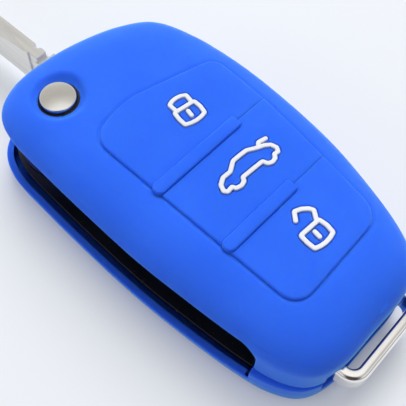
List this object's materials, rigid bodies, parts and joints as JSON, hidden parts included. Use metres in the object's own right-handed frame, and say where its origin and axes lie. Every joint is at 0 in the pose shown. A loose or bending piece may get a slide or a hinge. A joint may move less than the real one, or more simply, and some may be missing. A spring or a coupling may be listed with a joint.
{
  "type": "key fob cover",
  "caption": "Blue silicone cover round a flip key, with raised pads over the buttons, a side slot the blade folds into and a metal key loop.",
  "frame": {"origin": "centre of the cover's flat underside, in plan the middle of its upper half", "axes": "+Z out of the button face, +Y along the key toward the unfolded blade, +X away from the side with the blade's slot"},
  "size_m": [0.0431, 0.121, 0.0189],
  "materials": {
    "blue_silicone": "matte, smooth, slightly translucent blue silicone",
    "white_silicone": "matte white filled line",
    "black_plastic": "glossy black",
    "bright_chrome": "polished",
    "satin_chrome": "fine satin",
    "head_metal": "polished",
    "blade_steel": "fine brushed",
    "steel": "satin",
    "button_rubber": "matte black",
    "switch_plastic": "matte",
    "switch_metal": "satin",
    "board": "green solder resist",
    "tray_plastic": "matte dark grey",
    "cell_steel": "satin",
    "contact_brass": "satin",
    "chip_plastic": "matte black"
  },
  "bodies": {
    "key_body": {"cover_body": "blue_silicone", "upper_case": "black_plastic", "lower_case": "black_plastic", "key_loop": "bright_chrome", "case_screw": "steel", "lock_switch": "switch_metal", "trunk_switch": "switch_metal", "unlock_switch": "switch_metal", "circuit_board": "board", "module_tray": "tray_plastic", "battery": "cell_steel", "battery_top_contact": "contact_brass", "battery_base_contact": "contact_brass", "radio_chip": "chip_plastic", "crystal": "switch_metal", "small_components": "contact_brass", "transponder": "chip_plastic"},
    "blade_unit": {"blade_head": "head_metal", "blade": "blade_steel", "blade_pin": "steel", "release_spring": "steel"},
    "release": {"release_button": "satin_chrome"},
    "lock_key": {"lock_pad": "blue_silicone", "lock_symbol": "white_silicone", "lock_button": "button_rubber", "lock_plunger": "switch_plastic"},
    "trunk_key": {"trunk_pad": "blue_silicone", "trunk_symbol": "white_silicone", "trunk_button": "button_rubber", "trunk_plunger": "switch_plastic"},
    "unlock_key": {"unlock_pad": "blue_silicone", "unlock_symbol": "white_silicone", "unlock_button": "button_rubber", "unlock_plunger": "switch_plastic"}
  },
  "joints": [
    {"name": "blade_flip", "type": "hinge", "parent": "key_body", "child": "blade_unit", "pos_m": [-0.0085, 0.0271, 0.009], "axis": [0, 0, 1], "range_deg": [0, 180], "stiffness_Nm_per_rad": 0.01},
    {"name": "release_press", "type": "slide", "parent": "blade_unit", "child": "release", "axis": [0, 0, -1], "range_m": [0, 0.0015], "stiffness_N_per_m": 1500, "deforming": ["release_spring"]},
    {"name": "lock_press", "type": "slide", "parent": "key_body", "child": "lock_key", "axis": [0, 0, -1], "range_m": [0, 0.0004], "stiffness_N_per_m": 3000},
    {"name": "trunk_press", "type": "slide", "parent": "key_body", "child": "trunk_key", "axis": [0, 0, -1], "range_m": [0, 0.0004], "stiffness_N_per_m": 3000},
    {"name": "unlock_press", "type": "slide", "parent": "key_body", "child": "unlock_key", "axis": [0, 0, -1], "range_m": [0, 0.0004], "stiffness_N_per_m": 3000}
  ]
}
